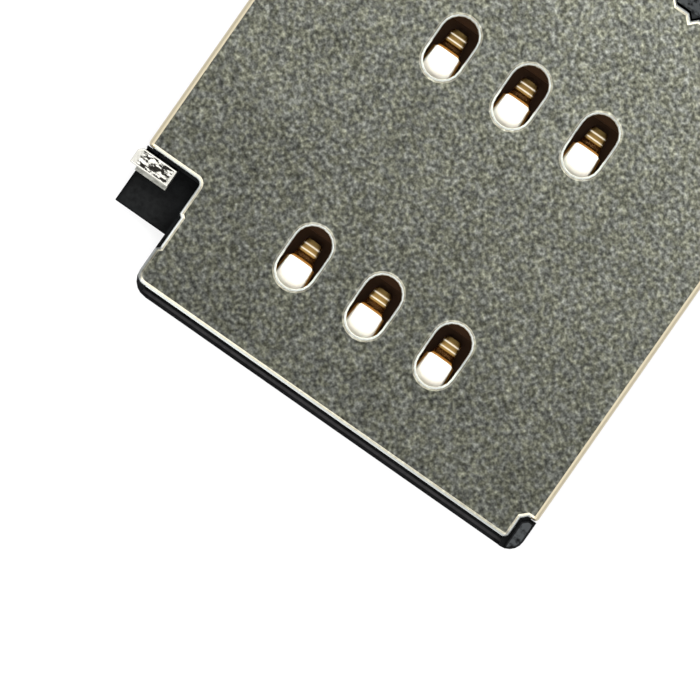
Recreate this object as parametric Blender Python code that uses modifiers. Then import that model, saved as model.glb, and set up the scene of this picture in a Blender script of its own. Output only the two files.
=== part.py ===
"""Board socket for a card tray, with a push-rod ejector.

A folded steel cover snaps over a moulded base. Six formed spring contacts rise through pockets in
the base towards windows in the cover. A push rod runs down the left side to a lever at the far end,
which turns on a headed pin and pushes the tray out. A two-piece switch senses the seated tray.

Sizes are in millimetres in the socket's own corner frame: x from the cover's left wall, y from the
front lip in the direction the tray goes in, z from the circuit board. Meshes are in metres.
"""

import math

import bmesh
import bpy
from mathutils import Matrix, Vector

MM = 0.001

# Overall sizes and clearances
SOCKET_LENGTH = 17.75
NOTCH_WIDTH = 1.95
INNER_WALL = 0.50
TRAY_WIDTH = 12.85
RIGHT_WALL = 0.65
BOARD_GAP = 0.05
FLOOR = 0.40
TRAY_HEIGHT = 0.90
SEAT_GAP = 0.02
RUNNING_GAP = 0.04

# Folded cover
SHEET = 0.18
BEND_RADIUS = 0.22
EDGE_ROLL = 0.12
COVER_SETBACK = 0.29
COVER_CORNER = 0.30
WALL_HEM = 0.22
FOOT_WIDTH = 1.20
FOOT_CENTRES = (2.30, 7.60, 12.60, 16.10)
SNAP_WIDTH = 1.30
SNAP_CENTRES_LEFT = (5.30, 10.10, 14.20)
SNAP_CENTRES_RIGHT = (2.30, 10.10, 14.20)
SNAP_LOW = 0.50
SNAP_HIGH = 0.93
SNAP_GRIP = 0.12
REAR_TABS = ((3.00, 9.00), (12.60, 15.00))

# Windows over the contacts
WINDOW_WIDTH = 1.17
WINDOW_LENGTH = 2.04
FIRST_WINDOW_FROM_TRAY = 3.30
FRONT_BAR = 0.28
CONTACT_PITCH = 2.54
ROW_PITCH = 7.62
COLUMNS = ("left", "middle", "right")
ROWS = ("front", "rear")

# Step in the front left corner, where the push rod comes out
NOTCH_DEPTH = 3.79
NOTCH_FILLET = 0.18
NOTCH_INSET = 0.01
SIDE_INSET = 0.01
RECESS_INSET = 0.11
RECESS_START = 1.50
RECESS_END = 2.65
RECESS_SLOPE = 0.09
FRONT_CORNER_LEFT = 0.60
FRONT_CORNER_RIGHT = 0.50
ENTRY_FLARE = 0.10
ENTRY_LENGTH = 0.60
ENTRY_CHAMFER = 0.11
SHELF_LEFT = 0.12
SHELF_MARGIN = 0.07
SHELF_CORNER = 0.03
GATE_LEFT = 0.02
GATE_GAP = 0.07
GATE_LENGTH = 0.45

# Corner post at the front right, and the boss that fills the cut-out at the rear
BOSS_SINK = 0.06
BOSS_GAP = 0.07
BOSS_ROLL = 0.07
POST_WIDTH = 0.41
POST_LENGTH = 1.13
POST_CHAMFER = 0.17
POST_CORNER = 0.16
REAR_CUT_CENTRE = 11.14
REAR_CUT_WIDTH = 1.48
REAR_CUT_START = 16.24
REAR_CUT_CHAMFER = 0.12
REAR_VEE = 0.17
BOSS_FILLET = 0.08
REAR_BLOCK_MARGIN = 0.20
REAR_BLOCK_FILLET = 0.15
CORNER_FILLET = 0.25
REAR_ROOM = 0.25
TONGUE_HEIGHT = 0.36
TONGUE_SINK = 0.02

# Spring latch pressed out of the right wall
LATCH_TIP = 4.10
LATCH_ROOT = 7.30
LATCH_LOW = 0.52
LATCH_HIGH = 0.98
LATCH_REACH = 0.22
LATCH_SLIT = 0.14
LATCH_LAP = 0.15
LATCH_LEAD = 0.20
LATCH_NOSE = 0.85
LATCH_LIFT = 0.10

# Spring contacts
CONTACT_STOCK = 0.12
CONTACT_ROOT_WIDTH = 1.00
CONTACT_ARM_WIDTH = 0.96
CONTACT_CREST_WIDTH = 0.80
CONTACT_NECK_WIDTH = 0.64
CONTACT_TIP_WIDTH = 0.56
CONTACT_TAIL_WIDTH = 0.60
CREST_OFFSET = -0.06
CREST_RISE = 0.71
TIP_LENGTH = 0.62
TIP_STEEP = 0.17
TIP_DROP = 0.58
ARM_LENGTH = 2.10
ARM_CURVE = 0.95
ARM_BEND = 3.00
ARM_FILLET = 0.50
CREST_BEND = 0.10
ROOT_LENGTH = 0.50
ROOT_RAISE = 0.01
ROOT_BEND = 0.25
TAIL_LENGTH = 0.62
TAIL_RISE = 0.19
TAIL_SHOULDER = 0.14
POCKET_GAP = 0.13
POCKET_FLOOR = 0.13

# Push rod
ROD_STOCK = 0.56
ROD_RIGHT = 1.20
ROD_WIDTH = 0.73
ROD_TRAVEL = 1.00
HEAD_FRONT = 3.07
HEAD_OVERHANG = 0.15
HEAD_TOP_SINK = 0.04
HEAD_CHAMFER = 0.13
HEAD_ROLL = 0.05
ROD_BEND = 0.10
PAD_DEPTH = 0.12
PAD_LEFT = 0.10
PAD_TOP = 1.22
OUTER_RAIL = 0.22
OUTER_RAIL_HEIGHT = 0.55
LUG_REACH = 0.35
LUG_START = 8.00
LUG_LENGTH = 1.00
GUIDE_BUMP_RADIUS = 0.28
GUIDE_BUMPS = (6.40, 12.60)

# Ejector lever and its pin
LEVER_STOCK = 0.45
PIVOT_Y = 15.95
ROD_ARM = 3.85
TRAY_ARM = 6.50
TRAY_ARM_DROP = 1.30
NOSE_RADIUS = 0.45
TRAY_NOSE_RADIUS = 0.50
EYE_RADIUS = 1.00
PIN_RADIUS = 0.55
PIN_HEAD_RADIUS = 0.92
PIN_HEAD_HEIGHT = 0.24
PIN_CHAMFER = 0.06
PIN_RAISE = 0.01

# Tray sensing switch
SWITCH_STOCK = 0.12
SWITCH_LOW = 0.60
SWITCH_HIGH = 1.20
SWITCH_FROM_WALL = 0.30
SWITCH_REACH = 2.15
SWITCH_ANCHOR_Y = 16.95
SWITCH_ARM_Y = 15.42
SWITCH_NOSE_Y = 14.70
SWITCH_LEAN = 0.10
SWITCH_SLOPE = 0.50
SWITCH_BEND = 0.20
TERMINAL_FROM_WALL = 1.70
TERMINAL_Y = 15.78
TERMINAL_REACH = 0.80
LEG_LENGTH = 0.55

# Underside
PAD_RADIUS = 0.60
PAD_INSET = 1.40
PAD_ROWS_LEFT = (4.90, 13.40)
PAD_ROWS_RIGHT = (2.60, 12.60)
MARK_RADIUS = 0.55
MARK_DEPTH = 0.05
MARK_ROWS = (6.20, 13.30)

# Levels and places that follow from the sizes above
TRAY_LEFT = NOTCH_WIDTH + INNER_WALL
TRAY_RIGHT = TRAY_LEFT + TRAY_WIDTH
SHELL_WIDTH = TRAY_RIGHT + RIGHT_WALL
FLOOR_TOP = BOARD_GAP + FLOOR
ROOF = FLOOR_TOP + TRAY_HEIGHT
TOP = ROOF + SHEET
RAIL_TOP = ROOF - SEAT_GAP
BASE_LEFT = SHEET + SEAT_GAP
BASE_RIGHT = SHELL_WIDTH - SHEET - SEAT_GAP
BASE_REAR = SOCKET_LENGTH - SHEET - SEAT_GAP
PLATE_REAR = SOCKET_LENGTH - BEND_RADIUS
FIRST_WINDOW_X = TRAY_LEFT + FIRST_WINDOW_FROM_TRAY
TAIL_SPAN = FRONT_BAR + POCKET_GAP + TAIL_LENGTH
FIRST_WINDOW_Y = TAIL_SPAN + ROOT_LENGTH + ARM_LENGTH - CREST_OFFSET
REAR_BLOCK_FRONT = REAR_CUT_START + BOSS_GAP
REAR_BLOCK_LEFT = REAR_CUT_CENTRE - REAR_CUT_WIDTH / 2 - REAR_BLOCK_MARGIN
ROD_LEFT = ROD_RIGHT - ROD_WIDTH
ROD_LOW = FLOOR_TOP + RUNNING_GAP
ROD_HIGH = ROD_LOW + ROD_STOCK
ROD_CENTRE = ROD_RIGHT - ROD_WIDTH / 2
HEAD_BACK = HEAD_FRONT + ROD_STOCK
GATE_FRONT = HEAD_BACK + GATE_GAP
CHANNEL_LEFT = BASE_LEFT + OUTER_RAIL
PIVOT_X = ROD_CENTRE + ROD_ARM - NOSE_RADIUS / 6
DIVIDER_LEFT = ROD_RIGHT + RUNNING_GAP
HALF_SWING = math.asin(ROD_TRAVEL / 2 / ROD_ARM)
DIVIDER_END = PIVOT_Y - ROD_TRAVEL / 2 - NOSE_RADIUS - 2 * RUNNING_GAP
ROD_END = PIVOT_Y + ROD_TRAVEL / 2 - NOSE_RADIUS - RUNNING_GAP
SHELF_FRONT = HEAD_FRONT - PAD_DEPTH - ROD_TRAVEL - SHELF_MARGIN
LEVER_LOW = FLOOR_TOP + RUNNING_GAP
LEVER_HIGH = LEVER_LOW + LEVER_STOCK
BOSS_TOP = TOP - BOSS_SINK
SWITCH_X = TRAY_RIGHT - SWITCH_FROM_WALL
SWITCH_NOSE_X = SWITCH_X - SWITCH_REACH
TERMINAL_X = TRAY_RIGHT - TERMINAL_FROM_WALL

ARC_STEP = math.radians(20)
SHARP_ANGLE = math.radians(40)
TOUCH = 1e-4
SKIN_DEPTH = BEND_RADIUS * (1 - math.cos(ARC_STEP / 2)) + TOUCH
WELD_DISTANCE = 1e-7
GRID = 1e-7
BEYOND = 1.0

# How a drawn outline and its thickness are turned to lie along each axis
DRAWING_PLANES = {
    "Z": Matrix.Identity(4),
    "Y": Matrix(((1, 0, 0, 0), (0, 0, -1, 0), (0, 1, 0, 0), (0, 0, 0, 1))),
    "X": Matrix(((0, 0, 1, 0), (1, 0, 0, 0), (0, 1, 0, 0), (0, 0, 0, 1))),
}


def clear_scene():
    """Remove every object that the scene starts with."""
    for leftover in list(bpy.data.objects):
        bpy.data.objects.remove(leftover)


def new_collection(name):
    """A collection linked to the scene."""
    collection = bpy.data.collections.new(name)
    bpy.context.scene.collection.children.link(collection)
    return collection


def material(name, colour, roughness, metallic):
    """A plain Principled material."""
    made = bpy.data.materials.new(name)
    made.use_nodes = True
    shader = made.node_tree.nodes["Principled BSDF"]
    shader.inputs["Base Color"].default_value = (*colour, 1.0)
    shader.inputs["Roughness"].default_value = roughness
    shader.inputs["Metallic"].default_value = metallic
    return made


def with_arcs(corners, closed=True):
    """Points along a line through corners (a, b, fillet radius), each fillet as a true arc."""
    count = len(corners)
    points = []
    for index, (a, b, radius) in enumerate(corners):
        corner = Vector((a, b))
        at_end = not closed and index in (0, count - 1)
        if radius == 0 or at_end:
            points.append(corner)
            continue
        back = (Vector(corners[index - 1][:2]) - corner).normalized()
        ahead = (Vector(corners[(index + 1) % count][:2]) - corner).normalized()
        half = back.angle(ahead) / 2
        centre = corner + (back + ahead).normalized() * radius / math.sin(half)
        start = corner + back * radius / math.tan(half) - centre
        end = corner + ahead * radius / math.tan(half) - centre
        turn = math.atan2(start.x * end.y - start.y * end.x, start.dot(end))
        steps = max(2, math.ceil(abs(turn) / ARC_STEP))
        for step in range(steps + 1):
            points.append(centre + Matrix.Rotation(turn * step / steps, 2) @ start)
    return points


def strip_outline(path, stock):
    """The closed outline of a bent strip of the given thickness along a path of (a, b, radius)."""
    line = with_arcs(path, closed=False)
    sides = ([], [])
    for index, point in enumerate(line):
        before = line[max(index - 1, 0)]
        after = line[min(index + 1, len(line) - 1)]
        into = (point - before).normalized() if index else (after - point).normalized()
        out = (after - point).normalized() if index < len(line) - 1 else into
        along = (into + out).normalized()
        across = Vector((-along.y, along.x)) * stock / 2 / along.dot(into)
        sides[0].append(point + across)
        sides[1].append(point - across)
    return sides[0] + sides[1][::-1]


def rectangle(left, right, near, far):
    """Corners of a rectangle, with no fillets."""
    return [(left, near, 0), (right, near, 0), (right, far, 0), (left, far, 0)]


def obround(x, y, width, length):
    """Corners of a slot with round ends, its long axis along y."""
    radius = width / 2 * 0.999
    left, right = x - width / 2, x + width / 2
    near, far = y - length / 2, y + length / 2
    return [(left, near, radius), (right, near, radius), (right, far, radius), (left, far, radius)]


def circle(x, y, radius):
    """Corners whose fillets make a circle."""
    return obround(x, y, 2 * radius, 2 * radius)


def add_object(name, mesh, collection):
    """Link a mesh as an object."""
    made = bpy.data.objects.new(name, mesh)
    collection.objects.link(made)
    return made


def weld(mesh):
    """Put points on a fine grid, join loose caps to their walls and point the faces outwards."""
    work = bmesh.new()
    work.from_mesh(mesh)
    for vertex in work.verts:
        vertex.co = [round(value / GRID) * GRID for value in vertex.co]
    bmesh.ops.remove_doubles(work, verts=work.verts, dist=WELD_DISTANCE)
    bmesh.ops.recalc_face_normals(work, faces=work.faces)
    work.to_mesh(mesh)
    work.free()


def prism(name, outlines, low, high, collection, axis="Z", origin=(0, 0, 0)):
    """Filled outlines in millimetres, extruded from low to high along an axis, as a mesh object."""
    curve = bpy.data.curves.new(name, "CURVE")
    curve.dimensions = "2D"
    curve.fill_mode = "BOTH"
    curve.extrude = (high - low) / 2
    for outline in outlines:
        spline = curve.splines.new("POLY")
        spline.points.add(len(outline) - 1)
        for point, place in zip(spline.points, outline):
            point.co = (place[0], place[1], 0, 1)
        spline.use_cyclic_u = True
    drawing = add_object(name, curve, collection)
    graph = bpy.context.evaluated_depsgraph_get()
    mesh = bpy.data.meshes.new_from_object(drawing.evaluated_get(graph))
    bpy.data.objects.remove(drawing)
    bpy.data.curves.remove(curve)
    middle = (low + high) / 2
    lift = Matrix.Translation((0, 0, -middle if axis == "Y" else middle))
    mesh.transform(DRAWING_PLANES[axis] @ lift)
    mesh.transform(Matrix.Scale(MM, 4) @ Matrix.Translation(-Vector(origin)))
    weld(mesh)
    return add_object(name, mesh, collection)


def block(name, corners, low, high, collection, axis="Z", origin=(0, 0, 0)):
    """A prism on one outline of (a, b, fillet radius) corners."""
    return prism(name, [with_arcs(corners)], low, high, collection, axis, origin)


def combine(target, tool, operation):
    """Cut, join or intersect an object with a tool that stays in the scene as a wire shape."""
    tool.hide_render = True
    tool.display_type = "WIRE"
    step = target.modifiers.new(tool.name, "BOOLEAN")
    step.operation = operation
    step.solver = "EXACT"
    step.object = tool


def roll_edges(target, width, segments, chosen):
    """Round the sharp edges whose middles are chosen, a test on a place in millimetres.

    The part's steps so far are worked out first, so that the test sees the finished shape.
    """
    graph = bpy.context.evaluated_depsgraph_get()
    mesh = bpy.data.meshes.new_from_object(target.evaluated_get(graph))
    target.modifiers.clear()
    target.data = mesh
    work = bmesh.new()
    work.from_mesh(mesh)
    weight = work.edges.layers.float.new("bevel_weight_edge")
    for edge in work.edges:
        middle = (edge.verts[0].co + edge.verts[1].co) / 2 / MM
        if edge.calc_face_angle(0) > SHARP_ANGLE and chosen(middle):
            edge[weight] = 1
    work.to_mesh(mesh)
    work.free()
    step = target.modifiers.new("rolled_edges", "BEVEL")
    step.width = width * MM
    step.segments = segments
    step.limit_method = "WEIGHT"
    step.use_clamp_overlap = False


def finish(part, frame, skin, place=(0, 0, 0)):
    """Give a part its material and smooth shading, and hang it in the socket's corner frame."""
    part.data.materials.clear()
    part.data.materials.append(skin)
    part.data.shade_smooth()
    part.data.set_sharp_from_angle(angle=math.radians(35))
    part.parent = frame
    part.location = Vector(place) * MM


def window_centres():
    """Name and centre of each contact's window."""
    for row, row_name in enumerate(ROWS):
        for column, column_name in enumerate(COLUMNS):
            x = FIRST_WINDOW_X + column * CONTACT_PITCH
            y = FIRST_WINDOW_Y + row * ROW_PITCH
            yield f"{row_name}_{column_name}", x, y


def cover_plan():
    """The cover's outline from above, with the notch, the post's corner and the rear cut-out."""
    cut_left = REAR_CUT_CENTRE - REAR_CUT_WIDTH / 2
    cut_right = REAR_CUT_CENTRE + REAR_CUT_WIDTH / 2
    post_left = SHELL_WIDTH - POST_WIDTH - BOSS_GAP
    post_end = POST_LENGTH + BOSS_GAP
    side = NOTCH_WIDTH + SIDE_INSET
    recess = NOTCH_WIDTH + RECESS_INSET
    notch = NOTCH_WIDTH + NOTCH_INSET
    chamfer = REAR_CUT_CHAMFER
    return [
        (side, COVER_SETBACK, COVER_CORNER),
        (post_left, COVER_SETBACK, POST_CORNER),
        (post_left, post_end - POST_CHAMFER, 0),
        (post_left + POST_CHAMFER, post_end, 0),
        (SHELL_WIDTH + BEYOND, post_end, 0),
        (SHELL_WIDTH + BEYOND, PLATE_REAR, 0),
        (cut_right, PLATE_REAR, 0),
        (cut_right, REAR_CUT_START + chamfer, 0),
        (cut_right - chamfer, REAR_CUT_START, 0),
        (REAR_CUT_CENTRE + REAR_VEE, REAR_CUT_START, 0),
        (REAR_CUT_CENTRE, REAR_CUT_START - REAR_VEE, 0),
        (REAR_CUT_CENTRE - REAR_VEE, REAR_CUT_START, 0),
        (cut_left + chamfer, REAR_CUT_START, 0),
        (cut_left, REAR_CUT_START + chamfer, 0),
        (cut_left, PLATE_REAR, 0),
        (-BEYOND, PLATE_REAR, 0),
        (-BEYOND, NOTCH_DEPTH, 0),
        (notch, NOTCH_DEPTH, NOTCH_FILLET),
        (notch, RECESS_END, 0),
        (recess, RECESS_END - RECESS_SLOPE, 0),
        (recess, RECESS_START, 0),
        (side, RECESS_START - RECESS_SLOPE, 0),
    ]


def on_cover_skin(place):
    """Whether a place is on the cover's outer skin, off the ends of its walls and its rear edge."""
    across = min(place.x, SHELL_WIDTH - place.x)
    below = TOP - place.z
    depth = min(across, below)
    if across < BEND_RADIUS and below < BEND_RADIUS:
        depth = BEND_RADIUS - math.hypot(BEND_RADIUS - across, BEND_RADIUS - below)
    return depth < SKIN_DEPTH and place.z > WALL_HEM / 2 and place.y < PLATE_REAR - TOUCH


def rear_tab(name, span, tools):
    """A tab folded down from the cover's plate at the rear."""
    height = ROOF + SHEET / 2
    face = SOCKET_LENGTH - SHEET / 2
    path = [
        (face - 3 * BEND_RADIUS, height, 0),
        (face, height, BEND_RADIUS - SHEET / 2),
        (face, WALL_HEM, 0),
    ]
    return prism(name, [strip_outline(path, SHEET)], *span, tools, "X")


def latch_arm(tools):
    """The spring arm bent inwards out of the right wall, to hold the seated tray."""
    outer = SHELL_WIDTH - SHEET / 2
    path = [
        (outer, LATCH_ROOT + LATCH_LAP, 0),
        (outer, LATCH_ROOT - LATCH_LEAD, 3 * SHEET),
        (TRAY_RIGHT - LATCH_REACH + SHEET / 2, LATCH_TIP + LATCH_NOSE, 1.5 * SHEET),
        (TRAY_RIGHT + LATCH_LIFT, LATCH_TIP, 0),
    ]
    return prism("latch_arm", [strip_outline(path, SHEET)], LATCH_LOW, LATCH_HIGH, tools)


def cover_shell(parts, tools):
    """Folded sheet cover: channel, trimmed from above, with feet, snap windows, latch, tabs."""
    channel = [
        (0, 0, 0),
        (0, TOP, BEND_RADIUS),
        (SHELL_WIDTH, TOP, BEND_RADIUS),
        (SHELL_WIDTH, 0, 0),
        (SHELL_WIDTH - SHEET, 0, 0),
        (SHELL_WIDTH - SHEET, ROOF, 0),
        (SHEET, ROOF, 0),
        (SHEET, 0, 0),
    ]
    shell = block("cover_shell", channel, 0, SOCKET_LENGTH, parts, "Y")
    windows = [
        with_arcs(obround(x, y, WINDOW_WIDTH, WINDOW_LENGTH)) for _, x, y in window_centres()
    ]
    plan = prism("cover_plan", [with_arcs(cover_plan()), *windows], -BEYOND, TOP + BEYOND, tools)
    combine(shell, plan, "INTERSECT")
    roll_edges(shell, EDGE_ROLL, 3, on_cover_skin)

    starts = [-BEYOND] + [centre + FOOT_WIDTH / 2 for centre in FOOT_CENTRES]
    ends = [centre - FOOT_WIDTH / 2 for centre in FOOT_CENTRES] + [SOCKET_LENGTH + BEYOND]
    hems = [with_arcs(rectangle(a, b, -BEYOND, WALL_HEM)) for a, b in zip(starts, ends)]
    hem_cuts = prism("hem_cuts", hems, -BEYOND, SHELL_WIDTH + BEYOND, tools, "X")
    combine(shell, hem_cuts, "DIFFERENCE")

    for side, centres, left in (
        ("left", SNAP_CENTRES_LEFT, -BEYOND),
        ("right", SNAP_CENTRES_RIGHT, BASE_RIGHT),
    ):
        openings = [
            with_arcs(rectangle(y - SNAP_WIDTH / 2, y + SNAP_WIDTH / 2, SNAP_LOW, SNAP_HIGH))
            for y in centres
        ]
        if side == "right":
            slit = rectangle(
                LATCH_TIP - LATCH_SLIT, LATCH_ROOT, LATCH_LOW - LATCH_SLIT, LATCH_HIGH + LATCH_SLIT
            )
            openings.append(with_arcs(slit))
        cuts = prism(f"snap_cuts_{side}", openings, left, left + BEYOND + BASE_LEFT, tools, "X")
        combine(shell, cuts, "DIFFERENCE")

    combine(shell, latch_arm(tools), "UNION")
    for number, span in enumerate(REAR_TABS):
        combine(shell, rear_tab(f"rear_tab_{number}", span, tools), "UNION")
    return shell


def base_plan():
    """The base's outline from above, with the shelf under the rod's head."""
    post_foot = POST_LENGTH + BOSS_GAP - SEAT_GAP
    return [
        (NOTCH_WIDTH, 0, FRONT_CORNER_LEFT),
        (SHELL_WIDTH, 0, FRONT_CORNER_RIGHT),
        (SHELL_WIDTH, post_foot, 0),
        (BASE_RIGHT, post_foot, 0),
        (BASE_RIGHT, BASE_REAR, 0),
        (BASE_LEFT, BASE_REAR, 0),
        (BASE_LEFT, NOTCH_DEPTH - SEAT_GAP, 0),
        (GATE_LEFT, NOTCH_DEPTH - SEAT_GAP, 0),
        (GATE_LEFT, HEAD_BACK - ROD_STOCK / 2, 0),
        (SHELF_LEFT, HEAD_BACK - ROD_STOCK / 2, 0),
        (SHELF_LEFT, SHELF_FRONT, SHELF_CORNER),
        (NOTCH_WIDTH, SHELF_FRONT, 0),
    ]


def base_cavities(tools):
    """What the mould leaves open above the floor, and the tops of the walls between the bosses."""
    rear_wall = PIVOT_Y + EYE_RADIUS + REAR_ROOM
    latch_start = LATCH_TIP - 2 * LATCH_SLIT
    latch_end = LATCH_ROOT + LATCH_SLIT
    flare_left = TRAY_LEFT - ENTRY_FLARE
    flare_right = TRAY_RIGHT + ENTRY_FLARE
    tray_space = [
        (flare_left, -BEYOND, 0),
        (flare_right, -BEYOND, 0),
        (flare_right, ENTRY_FLARE, 0),
        (TRAY_RIGHT, ENTRY_LENGTH, 0),
        (TRAY_RIGHT, latch_start, 0),
        (SHELL_WIDTH + BEYOND, latch_start, 0),
        (SHELL_WIDTH + BEYOND, latch_end, 0),
        (TRAY_RIGHT, latch_end, 0),
        (TRAY_RIGHT, REAR_BLOCK_FRONT, 0),
        (REAR_BLOCK_LEFT, REAR_BLOCK_FRONT, REAR_BLOCK_FILLET),
        (REAR_BLOCK_LEFT, rear_wall, REAR_BLOCK_FILLET),
        (-BEYOND, rear_wall, 0),
        (-BEYOND, DIVIDER_END, 0),
        (TRAY_LEFT, DIVIDER_END, CORNER_FILLET),
        (TRAY_LEFT, ENTRY_LENGTH, 0),
        (flare_left, ENTRY_FLARE, 0),
    ]
    lug_start = LUG_START - ROD_TRAVEL - RUNNING_GAP
    lug_end = LUG_START + LUG_LENGTH + RUNNING_GAP
    rod_channel = [
        (CHANNEL_LEFT, HEAD_BACK, 0),
        (DIVIDER_LEFT, HEAD_BACK, 0),
        (DIVIDER_LEFT, lug_start, 0),
        (DIVIDER_LEFT + LUG_REACH, lug_start, 0),
        (DIVIDER_LEFT + LUG_REACH, lug_end, 0),
        (DIVIDER_LEFT, lug_end, 0),
        (DIVIDER_LEFT, DIVIDER_END + OUTER_RAIL, 0),
        (CHANNEL_LEFT, DIVIDER_END + OUTER_RAIL, 0),
    ]
    notch_space = rectangle(-BEYOND, NOTCH_WIDTH, -BEYOND, GATE_FRONT)
    rail_start = GATE_FRONT + GATE_LENGTH
    rail_step = rectangle(-BEYOND, CHANNEL_LEFT, rail_start, DIVIDER_END + OUTER_RAIL)
    cavities = [
        ("tray_space", tray_space, FLOOR_TOP),
        ("rod_channel", rod_channel, FLOOR_TOP),
        ("notch_space", notch_space, FLOOR_TOP),
        ("rail_step", rail_step, FLOOR_TOP + OUTER_RAIL_HEIGHT),
    ]
    cuts = [block(name, corners, low, TOP, tools) for name, corners, low in cavities]
    around = rectangle(-BEYOND, SHELL_WIDTH + BEYOND, -BEYOND, SOCKET_LENGTH + BEYOND)
    outlines = [with_arcs(corners) for corners in (around, *boss_plans())]
    return cuts + [prism("wall_tops", outlines, RAIL_TOP, TOP, tools)]


def boss_plans():
    """Outlines of the bosses that fill the cover's front corner and rear cut-out."""
    post_left = SHELL_WIDTH - POST_WIDTH
    rear_left = REAR_CUT_CENTRE - REAR_CUT_WIDTH / 2 + BOSS_GAP
    rear_right = REAR_CUT_CENTRE + REAR_CUT_WIDTH / 2 - BOSS_GAP
    rear_end = PLATE_REAR - BOSS_GAP
    corner_post = [
        (post_left, -BEYOND / 2, 0),
        (SHELL_WIDTH + BEYOND / 2, -BEYOND / 2, 0),
        (SHELL_WIDTH + BEYOND / 2, POST_LENGTH, 0),
        (post_left + POST_CHAMFER, POST_LENGTH, 0),
        (post_left, POST_LENGTH - POST_CHAMFER, 0),
    ]
    rear_boss = [
        (rear_left, REAR_BLOCK_FRONT - BOSS_GAP / 2, BOSS_FILLET),
        (rear_right, REAR_BLOCK_FRONT - BOSS_GAP / 2, BOSS_FILLET),
        (rear_right, rear_end, 0),
        (rear_left, rear_end, 0),
    ]
    return corner_post, rear_boss


def on_post_top(place):
    """Whether a place is on the top of the corner post."""
    return abs(place.z - BOSS_TOP) < TOUCH and place.y < POST_LENGTH + TOUCH


def rear_tongue(tools):
    """The vee of the rear boss, which fills the vee of the cover's cut-out over the tray's space."""
    front = REAR_CUT_START + BOSS_GAP
    vee = [
        (REAR_CUT_CENTRE, front - REAR_VEE, 0),
        (REAR_CUT_CENTRE + REAR_VEE, front, 0),
        (REAR_CUT_CENTRE + REAR_VEE, front + 2 * REAR_VEE, 0),
        (REAR_CUT_CENTRE - REAR_VEE, front + 2 * REAR_VEE, 0),
        (REAR_CUT_CENTRE - REAR_VEE, front, 0),
    ]
    high = BOSS_TOP - TONGUE_SINK
    return block("rear_tongue", vee, high - TONGUE_HEIGHT, high, tools)


def rod_keeper(tools):
    """A ledge from the inner wall over the rod, just behind the rod's head."""
    left = CHANNEL_LEFT + RUNNING_GAP
    plan = rectangle(left, DIVIDER_LEFT + INNER_WALL / 2, GATE_FRONT, GATE_FRONT + GATE_LENGTH)
    return block("rod_keeper", plan, ROD_HIGH + RUNNING_GAP, RAIL_TOP - TONGUE_SINK, tools)


def snap_nubs(tools):
    """Wedges on the base's sides that spring into the cover's windows."""
    low, high = SNAP_LOW + RUNNING_GAP, SNAP_HIGH - RUNNING_GAP
    wedge = [(0, low), (-SNAP_GRIP, low), (-SNAP_GRIP, (low + high) / 2), (0, high)]
    half = SNAP_WIDTH / 2 - 2 * RUNNING_GAP
    nubs = []
    for side, centres, face, sign in (
        ("left", SNAP_CENTRES_LEFT, BASE_LEFT, 1),
        ("right", SNAP_CENTRES_RIGHT, BASE_RIGHT, -1),
    ):
        outline = [(face + sign * (depth + OUTER_RAIL / 4), z) for depth, z in wedge]
        for number, y in enumerate(centres):
            name = f"snap_nub_{side}_{number}"
            nubs.append(prism(name, [outline], y - half, y + half, tools, "Y"))
    return nubs


def pad_places():
    """Centres of the stand-off pads under the floor."""
    left = (BASE_LEFT + TRAY_LEFT) / 2
    right = TRAY_RIGHT - PAD_INSET
    pads = [(left, y) for y in PAD_ROWS_LEFT] + [(right, y) for y in PAD_ROWS_RIGHT]
    return [*pads, (FIRST_WINDOW_X + CONTACT_PITCH, BASE_REAR - 1.2 * PAD_RADIUS)]


def mark_places():
    """Centres of the shallow round marks that the mould's pins leave under the floor."""
    columns = (FIRST_WINDOW_X - CONTACT_PITCH / 2, FIRST_WINDOW_X + 2.5 * CONTACT_PITCH)
    return [(x, y) for x in columns for y in MARK_ROWS]


def contact_path(y_crest):
    """The contact's centre line in the y-z plane, from its solder tail to its tip."""
    tail = CONTACT_STOCK / 2
    root = BOARD_GAP + FLOOR / 2 + ROOT_RAISE
    crest = FLOOR_TOP + CREST_RISE - CONTACT_STOCK / 2
    root_start = y_crest - ARM_LENGTH - ROOT_LENGTH
    return [
        (root_start - TAIL_LENGTH, tail, 0),
        (root_start - TAIL_RISE, tail, CONTACT_STOCK),
        (root_start, root, CONTACT_STOCK),
        (y_crest - ARM_LENGTH, root, ROOT_BEND),
        (y_crest - ARM_CURVE, crest - ARM_CURVE / 3, ARM_BEND),
        (y_crest, crest, CREST_BEND),
        (y_crest + TIP_STEEP, crest - 0.75 * TIP_DROP, CONTACT_STOCK),
        (y_crest + TIP_LENGTH, crest - TIP_DROP, 0),
    ]


def contact_plan(x, y_crest):
    """The contact's blank from above, widest in the arm and narrow at the tip."""
    root_start = y_crest - ARM_LENGTH - ROOT_LENGTH
    half = [
        (CONTACT_TAIL_WIDTH / 2, root_start - TAIL_LENGTH - BEYOND, 0),
        (CONTACT_TAIL_WIDTH / 2, root_start - TAIL_SHOULDER, CONTACT_STOCK / 2),
        (CONTACT_ROOT_WIDTH / 2, root_start, 0),
        (CONTACT_ROOT_WIDTH / 2, y_crest - ARM_LENGTH, 0),
        (CONTACT_ARM_WIDTH / 2, y_crest - ARM_CURVE, ARM_FILLET),
        (CONTACT_CREST_WIDTH / 2, y_crest, CONTACT_STOCK / 2),
        (CONTACT_NECK_WIDTH / 2, y_crest + TIP_STEEP / 2, CONTACT_STOCK / 2),
        (CONTACT_TIP_WIDTH / 2, y_crest + TIP_LENGTH - SEAT_GAP, CONTACT_STOCK),
    ]
    right = [(x + width, y, radius) for width, y, radius in half]
    left = [(x - width, y, radius) for width, y, radius in reversed(half)]
    return right + left


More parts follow.
